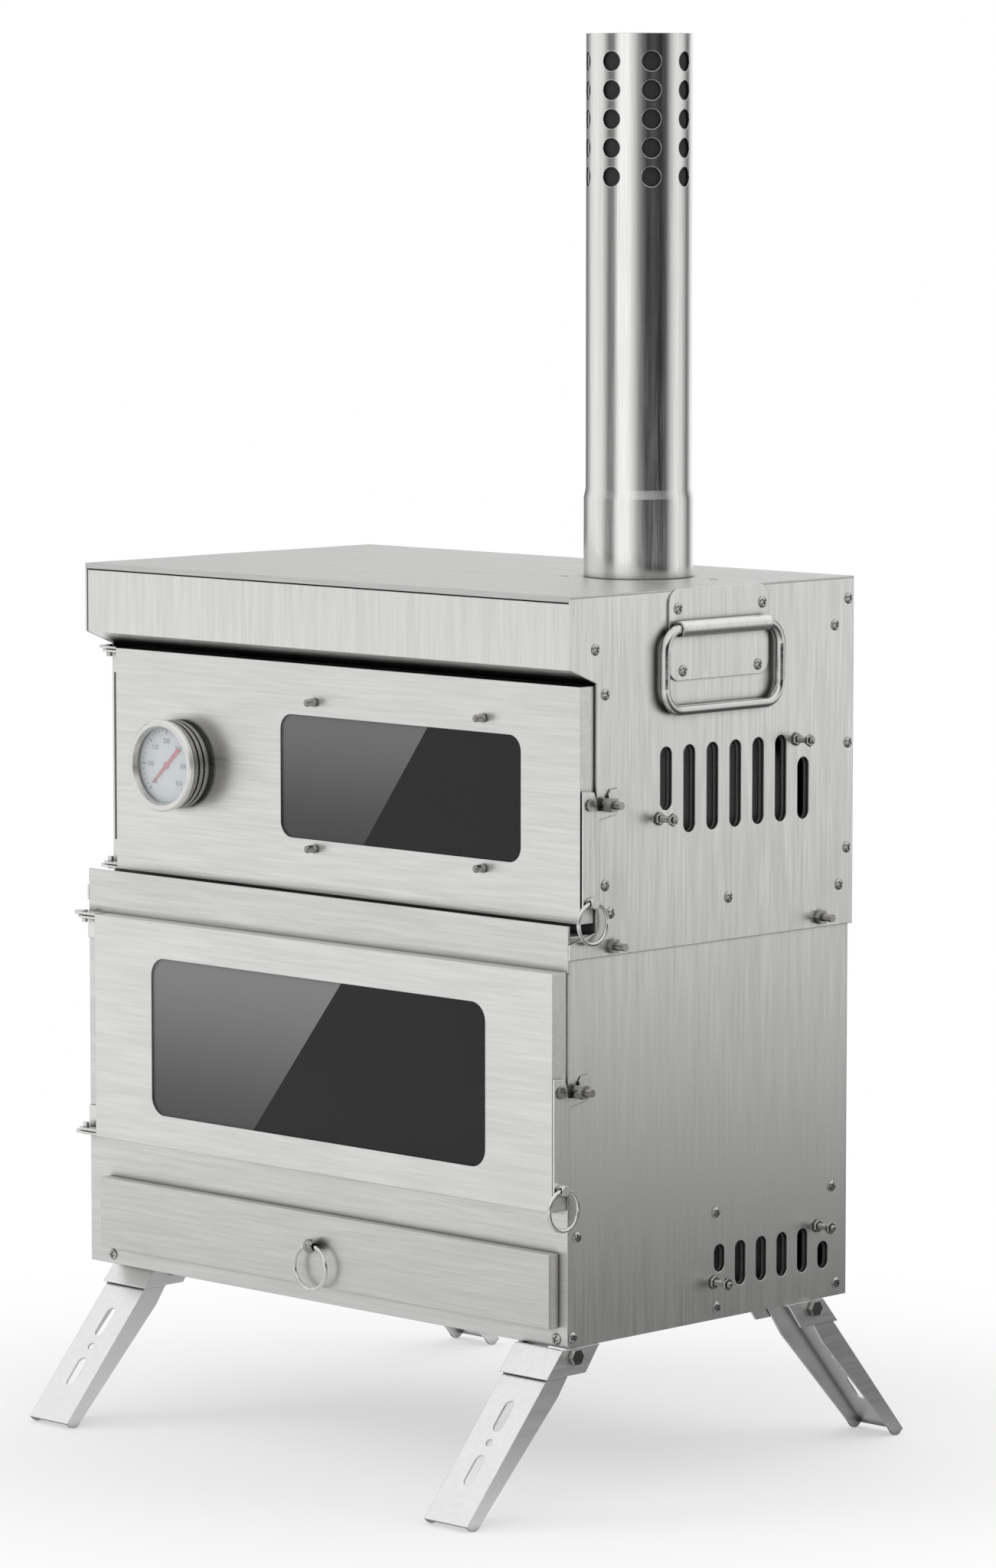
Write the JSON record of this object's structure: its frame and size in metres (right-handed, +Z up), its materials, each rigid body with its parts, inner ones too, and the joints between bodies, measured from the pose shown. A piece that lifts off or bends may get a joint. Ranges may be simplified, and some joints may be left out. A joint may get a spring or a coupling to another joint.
{
  "type": "tent wood stove",
  "caption": "Free-standing sheet steel wood stove with an oven above the firebox, hinged glazed doors, ash drawer, sliding air shutters, folding legs and a lift-off chimney.",
  "frame": {"origin": "on the floor under the middle of the part", "axes": "+X to the stove's right as its doors are faced, -Y out of the doors, +Z up"},
  "size_m": [0.4739, 0.438, 0.9104],
  "materials": {
    "brushed_steel": "brushed stainless sheet",
    "door_steel": "brushed stainless sheet, lighter",
    "plain_steel": "plain stainless sheet",
    "grate_steel": "dull sheet",
    "polished_steel": "polished rod",
    "fastener_steel": "plain fasteners",
    "door_glass": "dark heat-resistant glass",
    "lens_glass": "clear lens",
    "dial_paint": "satin dial",
    "gauge_case_steel": "turned steel",
    "needle_paint": "satin red"
  },
  "bodies": {
    "stove_body": {"base_plate": "brushed_steel", "lower_side_right": "brushed_steel", "lower_side_left": "brushed_steel", "lower_back_panel": "brushed_steel", "lower_front_frame": "brushed_steel", "drawer_rails": "plain_steel", "grate_ledges": "plain_steel", "fire_grate": "grate_steel", "module_floor": "brushed_steel", "upper_side_right": "brushed_steel", "upper_side_left": "brushed_steel", "upper_back_panel": "brushed_steel", "oven_front_frame": "brushed_steel", "hood": "brushed_steel", "top_cover": "brushed_steel", "oven_box": "plain_steel", "oven_box_feet": "plain_steel", "oven_rack": "polished_steel", "flue_spigot": "plain_steel", "handle_plates": "brushed_steel", "guide_studs": "fastener_steel", "side_bolts": "fastener_steel", "casing_screws": "fastener_steel", "hinge_brackets": "brushed_steel", "hinge_pins": "polished_steel", "leg_brackets": "brushed_steel", "leg_bolts": "fastener_steel"},
    "oven_door": {"oven_door_pan": "door_steel", "oven_glass": "door_glass", "oven_glass_clamp": "plain_steel", "oven_window_studs": "fastener_steel", "gauge_case": "gauge_case_steel", "gauge_bezel": "polished_steel", "gauge_dial": "dial_paint", "gauge_lens": "lens_glass", "oven_latch_rivet": "fastener_steel"},
    "fire_door": {"fire_door_pan": "door_steel", "fire_glass": "door_glass", "fire_glass_clamp": "plain_steel", "fire_latch_rivet": "fastener_steel"},
    "ash_drawer": {"drawer_front": "brushed_steel", "ash_tray": "plain_steel", "drawer_ring_eye": "fastener_steel"},
    "gauge_needle_body": {"gauge_needle": "needle_paint"},
    "oven_latch_body": {"oven_latch": "brushed_steel"},
    "fire_latch_body": {"fire_latch": "brushed_steel"},
    "oven_ring_body": {"oven_ring": "polished_steel"},
    "fire_ring_body": {"fire_ring": "polished_steel"},
    "drawer_ring_body": {"drawer_ring": "polished_steel"},
    "bail_right_body": {"bail_right": "polished_steel"},
    "bail_left_body": {"bail_left": "polished_steel"},
    "shutter_upper_right_body": {"shutter_upper_right": "plain_steel"},
    "shutter_upper_left_body": {"shutter_upper_left": "plain_steel"},
    "shutter_lower_right_body": {"shutter_lower_right": "plain_steel"},
    "shutter_lower_left_body": {"shutter_lower_left": "plain_steel"},
    "leg_front_right_body": {"leg_front_right": "brushed_steel"},
    "leg_front_left_body": {"leg_front_left": "brushed_steel"},
    "leg_rear_right_body": {"leg_rear_right": "brushed_steel"},
    "leg_rear_left_body": {"leg_rear_left": "brushed_steel"},
    "chimney": {"chimney_pipe": "brushed_steel"}
  },
  "joints": [
    {"name": "oven_door_hinge", "type": "hinge", "parent": "stove_body", "child": "oven_door", "pos_m": [-0.217, -0.114, 0.437], "axis": [0, 0, -1], "range_deg": [0, 110]},
    {"name": "fire_door_hinge", "type": "hinge", "parent": "stove_body", "child": "fire_door", "pos_m": [-0.217, -0.1375, 0.262], "axis": [0, 0, -1], "range_deg": [0, 110]},
    {"name": "ash_drawer_slide", "type": "slide", "parent": "stove_body", "child": "ash_drawer", "axis": [0, -1, 0], "range_m": [0, 0.18]},
    {"name": "oven_latch_pivot", "type": "hinge", "parent": "oven_door", "child": "oven_latch_body", "pos_m": [0.222, -0.1155, 0.438], "axis": [-1, 0, 0], "range_deg": [0, 30]},
    {"name": "fire_latch_pivot", "type": "hinge", "parent": "fire_door", "child": "fire_latch_body", "pos_m": [0.22, -0.1393, 0.2624], "axis": [-1, 0, 0], "range_deg": [0, 30]},
    {"name": "oven_ring_swing", "type": "hinge", "parent": "oven_latch_body", "child": "oven_ring_body", "pos_m": [0.2256, -0.1154, 0.3778], "axis": [0, -1, 0], "range_deg": [0, 80]},
    {"name": "fire_ring_swing", "type": "hinge", "parent": "fire_latch_body", "child": "fire_ring_body", "pos_m": [0.2238, -0.1392, 0.2022], "axis": [0, -1, 0], "range_deg": [0, 80]},
    {"name": "drawer_ring_swing", "type": "hinge", "parent": "ash_drawer", "child": "drawer_ring_body", "pos_m": [0.006, -0.146, 0.1412], "axis": [-1, 0, 0], "range_deg": [0, 80]},
    {"name": "gauge_needle_turn", "type": "hinge", "parent": "oven_door", "child": "gauge_needle_body", "pos_m": [-0.1405, -0.136, 0.4382], "axis": [0, 1, 0], "range_deg": [-177, 93]},
    {"name": "leg_front_right_fold", "type": "hinge", "parent": "stove_body", "child": "leg_front_right_body", "pos_m": [0.2005, -0.127, 0.0965], "axis": [1, 0, 0], "range_deg": [0, 108]},
    {"name": "leg_front_left_fold", "type": "hinge", "parent": "stove_body", "child": "leg_front_left_body", "pos_m": [-0.2005, -0.0955, 0.0965], "axis": [1, 0, 0], "range_deg": [0, 122]},
    {"name": "leg_rear_right_fold", "type": "hinge", "parent": "stove_body", "child": "leg_rear_right_body", "pos_m": [0.2005, 0.0955, 0.0965], "axis": [-1, 0, 0], "range_deg": [0, 122]},
    {"name": "leg_rear_left_fold", "type": "hinge", "parent": "stove_body", "child": "leg_rear_left_body", "pos_m": [-0.2005, 0.127, 0.0965], "axis": [-1, 0, 0], "range_deg": [0, 108]},
    {"name": "bail_right_lift", "type": "hinge", "parent": "stove_body", "child": "bail_right_body", "pos_m": [0.2262, 0.002, 0.542], "axis": [0, -1, 0], "range_deg": [0, 90]},
    {"name": "bail_left_lift", "type": "hinge", "parent": "stove_body", "child": "bail_left_body", "pos_m": [-0.2262, 0.002, 0.542], "axis": [0, 1, 0], "range_deg": [0, 90]},
    {"name": "shutter_upper_right_slide", "type": "slide", "parent": "stove_body", "child": "shutter_upper_right_body", "axis": [0, 1, 0], "range_m": [-0.0076, 0.003]},
    {"name": "shutter_upper_left_slide", "type": "slide", "parent": "stove_body", "child": "shutter_upper_left_body", "axis": [0, 1, 0], "range_m": [-0.0076, 0.003]},
    {"name": "shutter_lower_right_slide", "type": "slide", "parent": "stove_body", "child": "shutter_lower_right_body", "axis": [0, 1, 0], "range_m": [-0.0068, 0.003]},
    {"name": "shutter_lower_left_slide", "type": "slide", "parent": "stove_body", "child": "shutter_lower_left_body", "axis": [0, 1, 0], "range_m": [-0.0068, 0.003]},
    {"name": "chimney_lift", "type": "slide", "parent": "stove_body", "child": "chimney", "axis": [0, 0, 1], "range_m": [0, 0.06]}
  ]
}
